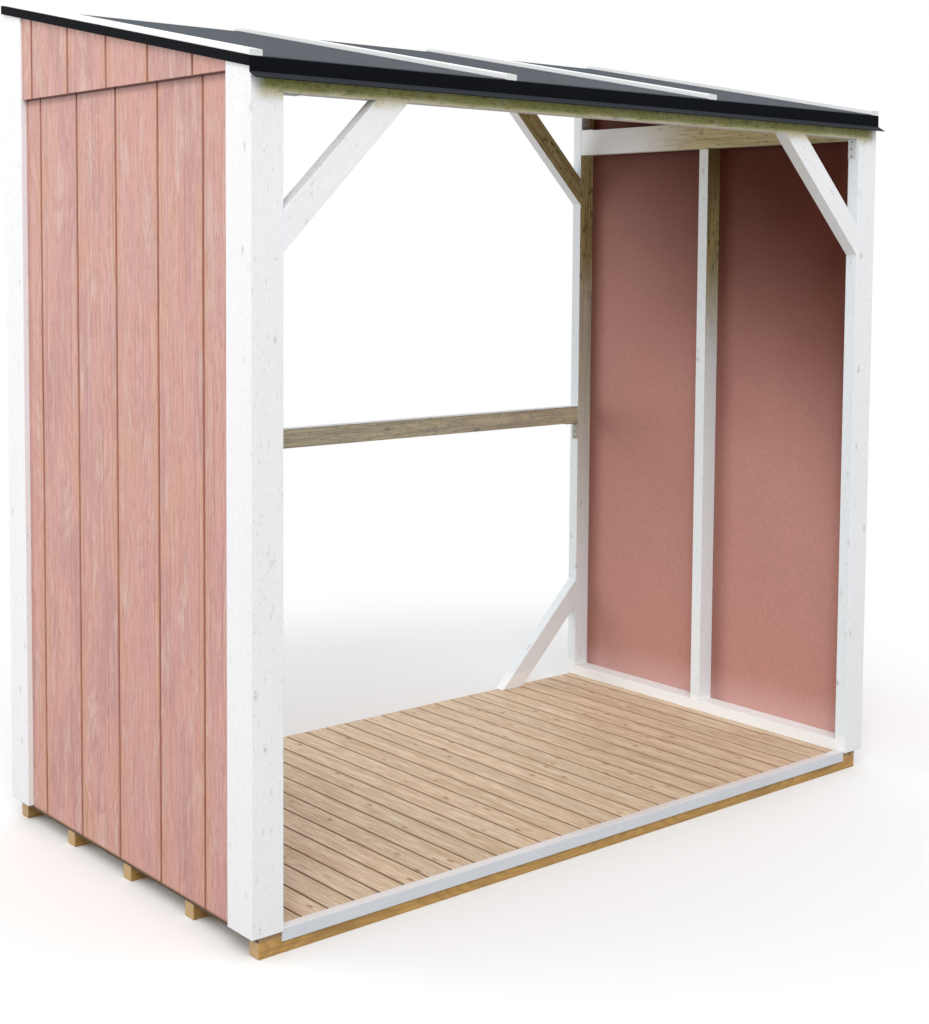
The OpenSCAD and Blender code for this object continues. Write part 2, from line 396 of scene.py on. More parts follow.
@once
def weather_group():
    """Painted green reflected light below the drip edge, painted shade under the roof, the inner faces,
    and a grimy foot.
    """
    _, entry, put_out = new_group(
        "Weather", "ShaderNodeTree", {"Vector": VECTOR, "Normal": VECTOR},
        ("Moss", "Damp", "Inner", "Foot", "Blotches"),
    )
    place = entry["Vector"]
    x, y, z = place.parts()
    sideways, facing, upward = entry["Normal"].parts()
    forward, downward, out_x = facing.band(-0.4, -0.8), upward.band(-0.4, -0.8), abs(x)
    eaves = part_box("front_beam")[0].z
    board_joint = abs(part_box("post_front_left")[0].x)
    patches = place.noise(14.0, 3.0, 0.6)
    ragged = patches * 0.05 + z

    # Painted green reflected light and shade on the front beam below the drip edge
    green_spill = ragged.band(eaves - 0.01, eaves + 0.032) * y.band(-0.70, -0.712) * forward
    green_spill = green_spill * out_x.band(1.298, 1.25) * patches.band(0.2, 0.5, 0.88, 1.0)

    bay = out_x.band(board_joint + 0.001, board_joint - 0.001)
    inner = y.band(-0.69, -0.66) * bay
    # Painted shade under the roof: forward faces high up, the back posts, the rails between them, faces
    # near the eaves and under the beam
    back_shade = ragged.band(0.4, 1.6) * y.band(0.3, 0.6, 0.1, 0.6)
    between_posts = out_x.band(1.203, 1.199) * y.band(0.6, 0.66)
    rail_shade = ragged.band(0.6, 1.0, 0.0, 0.73) * between_posts
    shade = most(most(ragged.band(1.35, 1.9), back_shade), rail_shade) * forward
    high = z.band(eaves - 0.02, eaves) * y.band(0.6, 0.0)
    under_beam = downward * ragged.band(eaves - 0.3, eaves, 0.0, 0.3) * y.band(0.0, -0.3)
    to_middle = (x * sideways).band(-0.1, -0.3)
    return put_out(
        Moss=green_spill, Damp=most(most(shade, high) * inner, under_beam),
        Inner=most(inner, to_middle * bay), Foot=ragged.band(0.2, 0.04) * patches,
        Blotches=place.scaled(1, 1, 0.45).noise(5.0, 3.0, 0.55),
    )


def timber_grain(place, ring_spacing, knot_spacing, knot_size):
    """The grain at a place, with x along the timber."""
    return effect(grain_group(), {
        "Vector": place, "Ring Spacing": ring_spacing, "Knot Spacing": knot_spacing,
        "Knot Size": knot_size,
    })


def weathering(tree):
    """The weather's marks on the surface."""
    return effect(weather_group(), {"Vector": object_place(tree), "Normal": surface_normal(tree)})


def effect(group, inputs):
    """Places a shader group with its own values; gives what it puts out, by name."""
    made = add(tree_of(*inputs.values()), "ShaderNodeGroup", inputs, node_tree=group)
    return outputs_of(made.socket.node)


def object_place(tree):
    return add(tree, "ShaderNodeTexCoord", out="Object")


def surface_normal(tree):
    return add(tree, "ShaderNodeNewGeometry", out="True Normal")


def own_value(tree, name, out="Fac"):
    """A value that the mesh carries."""
    return add(tree, "ShaderNodeAttribute", out=out, attribute_name=name)


def grain_place(tree):
    """A timber's own coordinates, with x along its length."""
    return own_value(tree, "grain", "Vector")


# --------------------------------------------------------------- materials


def settings(name):
    """One group of settings of the scene."""
    return getattr(bpy.context.scene, "log_store_" + name)


def new_material(name, **plain):
    """New material with a Principled shader; plain values go on the shader's own sockets."""
    material = bpy.data.materials.new(name)
    material.use_nodes = True
    tree = material.node_tree
    tree.nodes.clear()
    plain = {key.replace("_", " "): value for key, value in plain.items()}
    shader = add(tree, "ShaderNodeBsdfPrincipled", plain)
    add(tree, "ShaderNodeOutputMaterial", {0: shader})
    return material, tree, shader.socket.node


def dress(shader, base, rough=None, height=None, depth=0.001, strength=1.0):
    """Links a colour, a roughness and a bump to the shader."""
    tree = base.tree
    tree.links.new(base.socket, shader.inputs["Base Color"])
    if rough is not None:
        tree.links.new(rough.socket, shader.inputs["Roughness"])
    if height is not None:
        bump = add(tree, "ShaderNodeBump",
                   {"Height": height, "Distance": depth, "Strength": strength})
        tree.links.new(bump.socket, shader.inputs["Normal"])


# Colours on white paint: grain and knots in painted shade, painted deep shade, painted side light,
# painted green reflected light, painted light, and grime
BARE_WOOD, KNOT_STAIN = (0.23, 0.165, 0.07), (0.06, 0.042, 0.018)
DEEP_ROOF_SHADE, SIDE_LIGHT_TINT = (0.17, 0.11, 0.03), (0.78, 0.72, 0.42)
PALE_SPILL, DARK_SPILL, FADED_SPILL = (0.4, 0.38, 0.16), (0.13, 0.15, 0.03), (0.62, 0.56, 0.35)
SPILL_KNOT, PAINTED_LIGHT_WHITE, GRIME = (0.06, 0.052, 0.018), (0.94, 0.98, 1.0), (0.55, 0.52, 0.45)


@once
def white_paint():
    """White paint on knotty timber, with painted shade and painted green reflected light under the
    roof, painted light on some inner faces, and grime at the foot.
    """
    look = settings("timber")
    material, tree, shader = new_material("White paint", Roughness=0.55)
    own, place = grain_place(tree), object_place(tree)
    grain, weather = timber_grain(own, 0.0055, 0.055, 0.17), weathering(tree)
    rings, streaks, knots = grain["Rings"], grain["Streaks"], grain["Knots"]
    mottle = place.noise(70.0, 3.0, 0.6)
    tone = (streaks * 0.09 + 0.95) * (weather["Blotches"] * 0.06 + 0.97) * (mottle * 0.12 + 0.94)
    cracks = own.scaled(110, 260, 260).noise(1.0, 2.0).band(0.48, 0.6)
    flecks = own.scaled(38, 120, 120).noise(1.0, 1.0).band(0.68, 0.75)
    specks = own.scaled(26, 150, 150).noise(1.0, 1.0).band(0.62, 0.68)
    marks = most(grain["Knot Core"] * cracks * 0.6 + knots * 0.13, flecks * 0.24)
    # Painted light: cooler white on the inner faces, against the warm bounce light
    base = coats(
        tinted(mix(weather["Inner"], look.white, look.bounce_cancel_white), tone),
        (rings * 0.025, look.knot), (marks, look.knot),
    )

    _, back, level = place.parts()
    sideways, facing, upward = surface_normal(tree).parts()
    # Painted shade, deepest on forward faces high under the roof
    darkest = level.band(1.85, 2.25, 0.0, 0.95) * back.band(0.5, 0.3) * facing.band(-0.4, -0.8)
    # Painted light: the shade colour lighter on faces that look sideways
    sidelong = abs(sideways).band(0.5, 0.8)
    # Painted shade under the roof, with the grain and knots showing in it
    roof_shade_colour = coats(
        look.roof_shade_tint, (most(rings * 0.5, streaks.band(0.45, 0.6, 0.0, 0.85)), BARE_WOOD),
        (most(knots * 0.6, specks * 0.8), KNOT_STAIN), (darkest, DEEP_ROOF_SHADE),
        (sidelong * 0.22, SIDE_LIGHT_TINT),
    )
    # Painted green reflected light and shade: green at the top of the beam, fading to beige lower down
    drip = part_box("front_beam")[0].z
    ragged = weather["Blotches"] * 0.03 + level
    spill_colour = coats(
        look.green_spill, (streaks.band(0.42, 0.66, 0.0, 0.7), PALE_SPILL),
        (mottle.band(0.5, 0.62, 0.0, 0.55), DARK_SPILL),
        (ragged.band(drip + 0.03, drip + 0.014, 0.0, 0.9), FADED_SPILL),
        (most(knots * 0.4, specks * 0.4), SPILL_KNOT),
    )
    # Painted light: cooler white near the foot, on downward faces and on sideways faces high up
    painted_light = most(level.band(0.13, 0.11), upward.band(-0.5, -0.65, 0.0, 0.7))
    painted_light = most(painted_light, sidelong * level.band(2.2, 2.25)) * (weather["Inner"] - weather["Damp"])
    base = coats(base, (weather["Damp"], roof_shade_colour), (weather["Moss"], spill_colour),
                 (painted_light, PAINTED_LIGHT_WHITE), (weather["Foot"] * 0.1, GRIME))
    dress(shader, base, streaks * 0.2 + 0.45, streaks + (rings * 0.4 + knots), 0.0005, 0.55)
    return material


@once
def raw_timber(name, light, dark, knot, spacing, end=None):
    """Bare timber with visible rings and knots; cut ends may have their own colour."""
    material, tree, shader = new_material(name, Roughness=0.62)
    grain = timber_grain(grain_place(tree), spacing, 0.06, 0.13)
    rings, streaks = grain["Rings"], grain["Streaks"]
    base = coats(
        light, (rings * 0.42, dark), (streaks.band(0.45, 0.64, 0.0, 0.6), dark),
        (weathering(tree)["Blotches"].band(0.48, 0.7, 0.0, 0.45), dark),
    )
    base = coats(tinted(base, own_value(tree, "tone") * 0.2 + 0.9),
                 (grain["Knots"] * 0.55, dark), (grain["Knot Core"] * 0.75, knot))
    if end:
        facing, _, _ = surface_normal(tree).parts()
        sawn = abs(facing).band(0.7, 0.9, 0.0, 0.85)
        base = mix(sawn, base, mix(rings * 0.3, end, dark))
    dress(shader, base, streaks * 0.25 + 0.48, rings * 0.5 + streaks, 0.0006, 0.5)
    return material


# Tones of planed pine, and painted shade for the boards' sides in the gaps
PALE_PINE, PALE_HEART, DARK_HEART = (0.84, 0.7, 0.53), (0.8, 0.67, 0.5), (0.5, 0.325, 0.175)
KNOT_RIM, SAWN_PINE = (0.47, 0.255, 0.115), (0.36, 0.21, 0.08)
GAP_SIDE_SHADE, GAP_DEPTH_SHADE = (0.34, 0.19, 0.095), (0.08, 0.035, 0.015)


@once
def floor_pine():
    """Planed pine boards, each with its own tone: pinkish, yellow or greyer."""
    look = settings("floor")
    material, tree, shader = new_material("Floor pine", Roughness=0.5)
    own, tone = grain_place(tree), own_value(tree, "tone")
    grain = timber_grain(own, 0.0068, 0.058, 0.16)
    fine = own.scaled(11, 210, 210).noise(1.0, 3.0, 0.6)
    heart = own.scaled(2.2, 34, 34).noise(1.0, 3.0, 0.6)
    _, back, level = object_place(tree).parts()
    edge_on, end_on, _ = surface_normal(tree).parts()
    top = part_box("floor_deck")[1].z
    # Painted shade: the boards' sides in the gaps, darker further down
    below = mix(level.band(top - 0.003, top - 0.012), GAP_SIDE_SHADE, GAP_DEPTH_SHADE)
    base = coats(
        look.board, (tone.band(0.1, 0.9), look.board_warm),
        (grain["Rings"] * 0.13, look.dark_grain), (fine.band(0.47, 0.6, 0.0, 0.58), look.dark_grain),
        (fine.band(0.47, 0.34, 0.0, 0.55), PALE_PINE), (heart.band(0.5, 0.62, 0.0, 0.45), DARK_HEART),
        (heart.band(0.44, 0.32, 0.0, 0.45), PALE_HEART),
    )
    # Painted light: the boards a little darker towards the front and lighter towards the back
    base = coats(
        tinted(base, tone * 0.1 + back.band(-0.5, 0.6, 0.93, 1.06)),
        (grain["Knots"] * 0.62, KNOT_RIM), (grain["Knot Core"] * 0.55, look.knot),
        # Painted shade along the boards' rounded edges
        (abs(own_value(tree, "off_edge")).band(0.88, 0.98, 0.0, 0.4), look.edge),
        (abs(edge_on).band(0.3, 0.95, 0.0, 0.9), below),
        (abs(end_on).band(0.7, 0.95, 0.0, 0.8), SAWN_PINE),
    )
    dress(shader, base, grain["Streaks"] * 0.2 + 0.45, grain["Rings"] * 0.3 + fine, 0.0005, 0.6)
    return material


# Painted shadow under the gable sheet's lap, and a dark brown band along the sheet's foot
LAP_SHADOW, FOOT_BAND = (0.12, 0.035, 0.025), (0.33, 0.19, 0.1)


@once
def cladding_outside(first_groove):
    """Stained sheet with an embossed grain, browner beside each groove, with painted shade in and just
    beside each groove.
    """
    look = settings("cladding")
    material, tree, shader = new_material("Cladding outside", Roughness=0.6)
    _, y, z = object_place(tree).parts()
    step = (y - first_groove) / look.pitch
    board, within = calc("FLOOR", step), calc("FRACT", step)
    chance = add(tree, "ShaderNodeTexWhiteNoise", {"W": board}, "Value", noise_dimensions="1D")
    grain_at = joined(chance * 9.0 + z, within - 0.5, board * 0.07).scaled(1.0, 0.16, 1.0)
    grain = timber_grain(grain_at, 0.006, 0.3, 0.05)

    def streaks(across, along, detail=3.0, rough=0.6):
        """Noise drawn out down the wall, different on each board."""
        return joined(chance * 40.0, y * across, z * along).noise(1.0, detail, rough)

    fine, dash = streaks(240, 12), streaks(300, 28, 2.0)
    broad, cloud = streaks(48, 3.0), streaks(9, 2.6, 3.0, 0.55)
    patch, lines = streaks(17, 4.0), streaks(150, 1.6, 2.0, 0.5)
    from_groove = least(within, 1.0 - within) * look.pitch
    browner = most(from_groove.band(0.045, 0.012, 0.0, 0.75), cloud.band(0.5, 0.7, 0.0, 0.6))
    # Painted shade in and just beside each groove
    groove_edge_shade = (fine * 0.004 + from_groove).band(0.012, 0.005, 0.0, 0.6)
    base = coats(
        look.pink, (browner, look.brown),
        (cloud.band(0.52, 0.4) * chance.band(0.1, 0.6, 0.4, 0.95), look.dusky),
        (patch.band(0.52, 0.68, 0.0, 0.65), look.pale), (broad.band(0.53, 0.66, 0.0, 0.4), look.pale),
        (broad.band(0.46, 0.34, 0.0, 0.4), look.brown), (fine.band(0.5, 0.66, 0.0, 0.24), look.pale),
        (fine.band(0.5, 0.34, 0.0, 0.3), look.mark), (dash.band(0.54, 0.64, 0.0, 0.42), look.mark),
        (lines.band(0.59, 0.66, 0.0, 0.42), look.mark),
        (grain["Rings"] * patch.band(0.4, 0.6, 0.0, 0.22), look.mark),
        (most(groove_edge_shade, from_groove.band(0.0046, 0.0026, 0.0, 0.95)), look.groove),
    )
    if first_groove == look.wall_groove:
        lap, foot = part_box("gable_sheet_left")[0].z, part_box("wall_sheet_left")[0].z
        under_lap = z.band(lap - 0.03, lap - 0.008, 0.0, 0.45) * z.band(lap + 0.004, lap)
        base = coats(base, (most(under_lap, z.band(lap - 0.008, lap - 0.005)), LAP_SHADOW),
                     (z.band(foot + 0.006, foot + 0.003, 0.0, 0.9), FOOT_BAND))
    dress(shader, base, fine * 0.2 + 0.5, dash * -0.5 + (fine + broad), 0.0012, 0.6)
    return material


# Redder clouds, painted roof shade, painted shade at the bay edges and painted bounced light on the
# walls' inner faces
RED_CLOUD, ROOF_SHADE = (0.5, 0.22, 0.19), (0.085, 0.016, 0.006)
BAY_EDGE_SHADE, FOOT_GLOW = (0.2, 0.07, 0.05), (0.68, 0.45, 0.42)


@once
def cladding_inside():
    """Smooth fibrous inner face of the walls, with painted shade towards the roof and the studs."""
    look = settings("cladding")
    material, tree, shader = new_material(
        "Cladding inside", Roughness=0.5, Specular_IOR_Level=0.05)
    place = object_place(tree)
    _, y, z = place.parts()
    warp, weft = (place.scaled(1, *across).noise(1.0, 2.0, 0.6) for across in ((260, 45), (45, 260)))
    fibre, cloud = (warp + weft).band(0.7, 1.3), place.noise(2.2, 2.0, 0.5)
    ragged = cloud * 0.25 + (y * -0.6 + z)
    bay_middle = 0.347
    from_middle = abs(abs(y) - bay_middle)
    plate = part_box("plate_left")[1].z
    base = coats(
        tinted(look.inside, fibre * 0.14 + (cloud * 0.16 + 0.84)),
        (cloud.band(0.35, 0.7, 0.0, 0.25), RED_CLOUD), (ragged.band(1.16, 2.45, 0.0, 0.98), ROOF_SHADE),
        ((cloud * 0.04 + from_middle).band(0.24, 0.35, 0.0, 0.45), BAY_EDGE_SHADE),
        ((cloud * -0.1 + z).band(plate + 0.1, plate - 0.05, 0.0, 0.4), FOOT_GLOW),
    )
    dress(shader, base, fibre * 0.18 + 0.34, fibre, 0.0004, 0.4)
    return material


@once
def mineral_felt():
    """Roofing felt with a fine mineral surface."""
    material, tree, shader = new_material("Mineral felt", Roughness=0.85, Specular_IOR_Level=0.2)
    grit, cloud = object_place(tree).noise(520.0, 2.0, 0.7), object_place(tree).noise(3.0, 3.0, 0.6)
    base = tinted(settings("roof").felt, grit * 0.8 + (cloud * 0.3 + 0.45))
    dress(shader, base, None, cloud * 4.0 + grit, 0.0008, 0.6)
    return material


@once
def batten_paint():
    """White painted battens with greyer sawn ends."""
    look = settings("roof")
    knot = (0.4, 0.4, 0.38)
    material, tree, shader = new_material("Batten paint", Roughness=0.5)
    grain = timber_grain(grain_place(tree), 0.005, 0.16, 0.05)
    streaks = grain["Streaks"]
    _, facing, _ = surface_normal(tree).parts()
    base = coats(tinted(look.batten, streaks * 0.08 + 0.95),
                 (abs(facing).band(0.7, 0.9, 0.0, 0.9), look.batten_end), (grain["Knots"] * 0.12, knot))
    dress(shader, base, streaks * 0.2 + 0.42, streaks, 0.0004, 0.5)
    return material


@once
def coated_metal(name, colour, roughness, specular, worn, dust_and_sheen, backing_and_bounce):
    """Painted sheet metal, worn in patches, lighter where it faces up with dust and a painted sheen,
    and lighter below with its backing coat and painted bounce light.
    """
    material, tree, shader = new_material(
        name, Roughness=roughness, Specular_IOR_Level=specular)
    place = object_place(tree)
    cloud, speck = place.noise(6.0, 3.0, 0.55), place.noise(90.0, 2.0, 0.6)
    _, _, upward = surface_normal(tree).parts()
    base = coats(
        tinted(colour, cloud * 0.16 + (speck * 0.08 + 0.88)),
        (cloud.band(0.5, 0.75, 0.0, 0.1), worn), (upward.band(0.7, 0.95, 0.0, 0.55), dust_and_sheen),
        (upward.band(-0.6, -0.8), backing_and_bounce),
    )
    dress(shader, base, cloud * 0.14 + (roughness - 0.07), cloud, 0.0015, 0.3)
    return material


@once
def zinc_metal(name, colour, roughness):
    """Zinc-coated steel with its spangled patches, made brighter high under the roof by painted light.
    """
    lit_zinc = (0.85, 0.92, 0.96)
    material, tree, shader = new_material(name, Roughness=roughness, Metallic=0.5)
    place = object_place(tree)
    spangle = add(tree, "ShaderNodeTexVoronoi", {"Vector": place, "Scale": 130.0}, "Color")
    patch, _, _ = spangle.parts()
    _, back, level = place.parts()
    painted_zinc_light = level.band(1.3, 1.9) * back.band(-0.7, 0.6, 0.5, 1.0)
    base = tinted(mix(painted_zinc_light, colour, lit_zinc), patch * 0.3 + 0.8)
    dress(shader, base, patch * 0.2 + (roughness - 0.1), place.noise(400.0, 2.0), 0.0002, 0.4)
    return material


@once
def recess_shade_paint():
    """Painted shade: a flat dark colour for a screw head's drive recess and for the nail holes."""
    material, tree, shader = new_material("Screw recess", Roughness=0.7)
    cloud = object_place(tree).noise(900.0, 2.0)
    dress(shader, mix(cloud, (0.03, 0.03, 0.03), (0.09, 0.085, 0.08)))
    return material


# ---------------------------------------------------------- mesh and trees

# Points this close are one point, and points this close to a plane lie on it
MERGE, ON_EDGE = 1e-5, 1e-4


def link_piece(name, mesh, materials, nodes):
    """Adds a finished mesh to the scene as a piece that stands for its CAD nodes."""
    piece = bpy.data.objects.new(name, mesh)
    bpy.context.scene.collection.objects.link(piece)
    if not mesh.materials:
        for material in materials:
            mesh.materials.append(material)
    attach(piece, "root")
    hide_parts(*nodes)
    return piece


def merged(node):
    """A CAD node's mesh with its loose triangles joined into flat faces."""
    bm = bmesh.new()
    bm.from_mesh(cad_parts[node].data)
    bmesh.ops.remove_doubles(bm, verts=bm.verts, dist=MERGE)
    bmesh.ops.dissolve_limit(bm, angle_limit=0.01, verts=bm.verts, edges=bm.edges)
    return bm


def rounded_mesh(node, radius, sharp=None, segments=2):
    """A merged copy of a CAD node's mesh with its edges rounded, except those sharp() picks."""
    bm = merged(node)
    edges = [e for e in bm.edges if not (sharp and sharp(e.verts[0].co, e.verts[1].co))]
    bmesh.ops.bevel(bm, geom=edges, offset=radius, segments=segments, profile=0.5,
                    affect="EDGES", clamp_overlap=True)
    mesh = bpy.data.meshes.new(node + "_mesh")
    bm.to_mesh(mesh)
    bm.free()
    return mesh


def add_grain(mesh, along, across, seed):
    """Gives a timber its own grain coordinates, x along it, at a chance place in the tree."""
    chance = random.Random(seed)
    along, across = along.normalized(), across.normalized()
    through = along.cross(across)
    points = [v.co.copy() for v in mesh.vertices]
    middle = sum(points, Vector()) / len(points)
    shift = Vector((chance.uniform(0, 40), chance.uniform(-0.03, 0.03), chance.uniform(-0.02, 0.03)))
    own = [Vector((o.dot(along), o.dot(across), o.dot(through))) + shift
           for o in (point - middle for point in points)]
    grain = mesh.attributes.new("grain", "FLOAT_VECTOR", "POINT")
    grain.data.foreach_set("vector", [part for place in own for part in place])
    tone = mesh.attributes.new("tone", "FLOAT", "POINT")
    tone.data.foreach_set("value", [chance.random()] * len(points))


def timber(node, along, material, slot, radius, across=None, sharp=None):
    """One timber: the CAD solid with rounded edges and grain along its length."""
    mesh = rounded_mesh(node, radius, sharp)
    add_grain(mesh, along, across or (Y if abs(along.y) < 0.5 else Z), node)
    return link_piece(node + "_timber", mesh, [material], [node])


def white_timber(node, along, slot="white_timber", **more):
    """A painted timber of the frame."""
    return timber(node, along, white_paint(), slot, settings("timber").edge_round, **more)


def from_tree(tree, values, base=None):
    """Runs a geometry tree once with its named inputs and gives the result as a plain mesh."""
    holder = bpy.data.objects.new("holder", base or bpy.data.meshes.new("start"))
    bpy.context.scene.collection.objects.link(holder)
    modifier = holder.modifiers.new("build", "NODES")
    modifier.node_group = tree
    for name, value in values.items():
        modifier[tree.interface.items_tree[name].identifier] = value
    bpy.context.view_layer.update()
    graph = bpy.context.evaluated_depsgraph_get()
    mesh = bpy.data.meshes.new_from_object(
        holder.evaluated_get(graph), preserve_all_data_layers=True, depsgraph=graph
    )
    holder.modifiers.remove(modifier)
    bpy.data.objects.remove(holder)
    for i in reversed(range(len(mesh.materials))):
        if mesh.materials[i] is None:
            mesh.materials.pop(index=i)
    return mesh


def geometry(tree, kind, inputs=(), **modes):
    """A geometry node, by its name without the usual beginning."""
    return add(tree, "GeometryNode" + kind, inputs, **modes)


def together(*parts):
    """Several pieces of geometry as one."""
    made = parts[0].tree.nodes.new("GeometryNodeJoinGeometry")
    for part in parts:
        made.id_data.links.new(part.socket, made.inputs[0])
    return Value(made.outputs[0])


def moved(shape, *place):
    """Geometry with each point set to a new place."""
    return geometry(shape.tree, "SetPosition", {"Geometry": shape, "Position": joined(*place)})


def kept(shape, name, value, kind="FLOAT_VECTOR", domain="POINT"):
    """Geometry that carries a value under a name."""
    return geometry(shape.tree, "StoreNamedAttribute",
                    {"Geometry": shape, "Name": name, "Value": value}, data_type=kind, domain=domain)


def carried(tree, name, kind="FLOAT_VECTOR"):
    """A value that geometry carries under a name."""
    return geometry(tree, "InputNamedAttribute", {"Name": name}, data_type=kind)


def painted(shape, material, where=True):
    """Geometry with a material, on all faces or on some."""
    return geometry(shape.tree, "SetMaterial",
                    {"Geometry": shape, "Selection": where, "Material": material})


def copies(points, shape, **more):
    """A shape copied onto each point."""
    return geometry(shape.tree, "InstanceOnPoints", {"Points": points, "Instance": shape, **more})


def realized(shape):
    return geometry(shape.tree, "RealizeInstances", {"Geometry": shape})


def four_points(tree, x, y):
    """Four points at places worked out from their numbers."""
    line = geometry(tree, "MeshLine", {"Count": 4, "Offset": (0, 0, 0.001)})
    return moved(line, x, y, 0.0)


def prism(outline, height):
    """Fills a flat outline and raises it to a closed solid of that height."""
    tree = outline.tree
    face = geometry(tree, "FillCurve", {"Curve": outline}, mode="NGONS")
    offset = add(tree, "ShaderNodeCombineXYZ", {2: height})
    raised = geometry(tree, "ExtrudeMesh", {
        "Mesh": face, "Offset": offset, "Offset Scale": 1.0, "Individual": False})
    base = geometry(tree, "FlipFaces", {"Mesh": face})
    return geometry(tree, "MergeByDistance", {"Geometry": together(raised, base), "Distance": MERGE})


@once
def boards_tree():
    """Boards side by side across X, lying along Y, cut off at two limits."""
    tree, entry, put_out = new_group("Boards", "GeometryNodeTree", {
        "Pitch": 0.1, "First Joint": 0.0, "Gap": 0.005, "Rounding": 0.002, "Low Limit": -1.0,
        "High Limit": 1.0, "Length": 1.0, "Thickness": 0.02, "Seed": 0, "Material": MATERIAL,
    }, ("Geometry",))
    pitch, first, seed = entry["Pitch"], entry["First Joint"], entry["Seed"]
    width = pitch - entry["Gap"]
    row = geometry(tree, "MeshLine", {
        "Count": calc("CEIL", (entry["High Limit"] - first) / pitch) + 1.0,
        "Start Location": joined(pitch * -0.5 + first, 0.0, 0.0), "Offset": joined(pitch, 0.0, 0.0)})
    outline = geometry(tree, "CurvePrimitiveQuadrilateral",
                       {"Width": width, "Height": entry["Thickness"]})
    outline = geometry(tree, "FilletCurve", {
        "Curve": outline, "Radius": entry["Rounding"], "Limit Radius": True, "Count": 2}, mode="POLY")
    board = geometry(tree, "Transform", {
        "Geometry": prism(outline, entry["Length"]), "Rotation": (math.radians(90), 0, 0),
        "Translation": joined(0.0, entry["Length"] * 0.5, 0.0)})
    x, y, z = geometry(tree, "InputPosition").parts()
    board = kept(board, "grain", joined(y, x, z))
    board = kept(board, "off_edge", x / (width * 0.5), "FLOAT")
    shift = add(tree, "FunctionNodeRandomValue", {
        0: (0, -0.03, -0.02), 1: (40, 0.03, 0.03), "Seed": seed}, data_type="FLOAT_VECTOR")
    tone = add(tree, "FunctionNodeRandomValue", {"Seed": seed + 1.0}, 1, data_type="FLOAT")
    boards = kept(copies(row, board), "shift", shift, domain="INSTANCE")
    boards = realized(kept(boards, "tone", tone, "FLOAT", "INSTANCE"))
    own = carried(tree, "grain").vector("ADD", carried(tree, "shift"))
    boards = kept(boards, "grain", own)
    x = least(most(x, entry["Low Limit"]), entry["High Limit"])
    cut = geometry(tree, "MergeByDistance", {"Geometry": moved(boards, x, y, z), "Distance": MERGE})
    return put_out(Geometry=painted(cut, entry["Material"]))


def laid_boards(pitch, first, gap, rounding, low, high, long, thick, seed, material):
    """A level row of boards from low to high, as a plain mesh; first is the first joint's place."""
    return from_tree(boards_tree(), {
        "Pitch": pitch, "First Joint": first, "Gap": gap, "Rounding": rounding,
        "Low Limit": low, "High Limit": high, "Length": long, "Thickness": thick, "Seed": seed,
        "Material": material,
    })


@once
def grooved_sheet_tree():
    """Upright sheet with grooves down its outer face, its top cut to the roof's slope."""
    tree, entry, put_out = new_group("Grooved Sheet", "GeometryNodeTree", {
        "Pitch": 0.2, "First Groove": 0.0, "Groove Width": 0.01, "Groove Depth": 0.005,
        "Front": -0.5, "Back": 0.5, "Outer Face": 1.0, "Thickness": 0.01, "Foot": 0.0,
        "Roof Height": 2.0, "Roof Slope": 0.0, "Side": 1.0, "Outside": MATERIAL, "Inside": MATERIAL,
    }, ("Geometry",))
    pitch, first, front, back = (
        entry[name] for name in ("Pitch", "First Groove", "Front", "Back"))
    thick, side, foot = entry["Thickness"], entry["Side"], entry["Foot"]
    row = geometry(tree, "MeshLine", {
        "Count": calc("FLOOR", (back - first) / pitch) + 1.0,
        "Start Location": joined(0.0, first, 0.0), "Offset": joined(0.0, pitch, 0.0)})
    index = geometry(tree, "InputIndex")
    off_middle = index - 1.5
    middle_two = abs(off_middle) < 1.0
    groove = four_points(
        tree, middle_two * entry["Groove Depth"], off_middle * (entry["Groove Width"] / 3.0))
    corners = four_points(tree, (index > 1.5) * thick, middle_two * (back - front) + front)
    dots = together(realized(copies(row, groove)), corners)
    dots = geometry(tree, "MeshToPoints", {"Mesh": dots})
    x, y, z = geometry(tree, "InputPosition").parts()
    order = (x > thick * 0.99) * (y * -2.0 + 100.0) + y
    outline = geometry(tree, "PointsToCurves", {"Points": dots, "Weight": order})
    outline = geometry(tree, "SetSplineCyclic", {"Geometry": outline, "Cyclic": True})
    roof = y * entry["Roof Slope"] + entry["Roof Height"]
    level = (z > 0.5) * (roof - foot) + foot
    sheet = moved(prism(outline, 1.0), side * (entry["Outer Face"] - x), y, level)
    turned = geometry(tree, "FlipFaces", {"Mesh": sheet})
    sheet = geometry(tree, "Switch", {"Switch": side > 0.0, "False": sheet, "True": turned},
                     input_type="GEOMETRY")
    facing, _, _ = geometry(tree, "InputNormal").parts()
    sheet = painted(realized(sheet), entry["Outside"])
    return put_out(Geometry=painted(sheet, entry["Inside"], facing * side < -0.9))


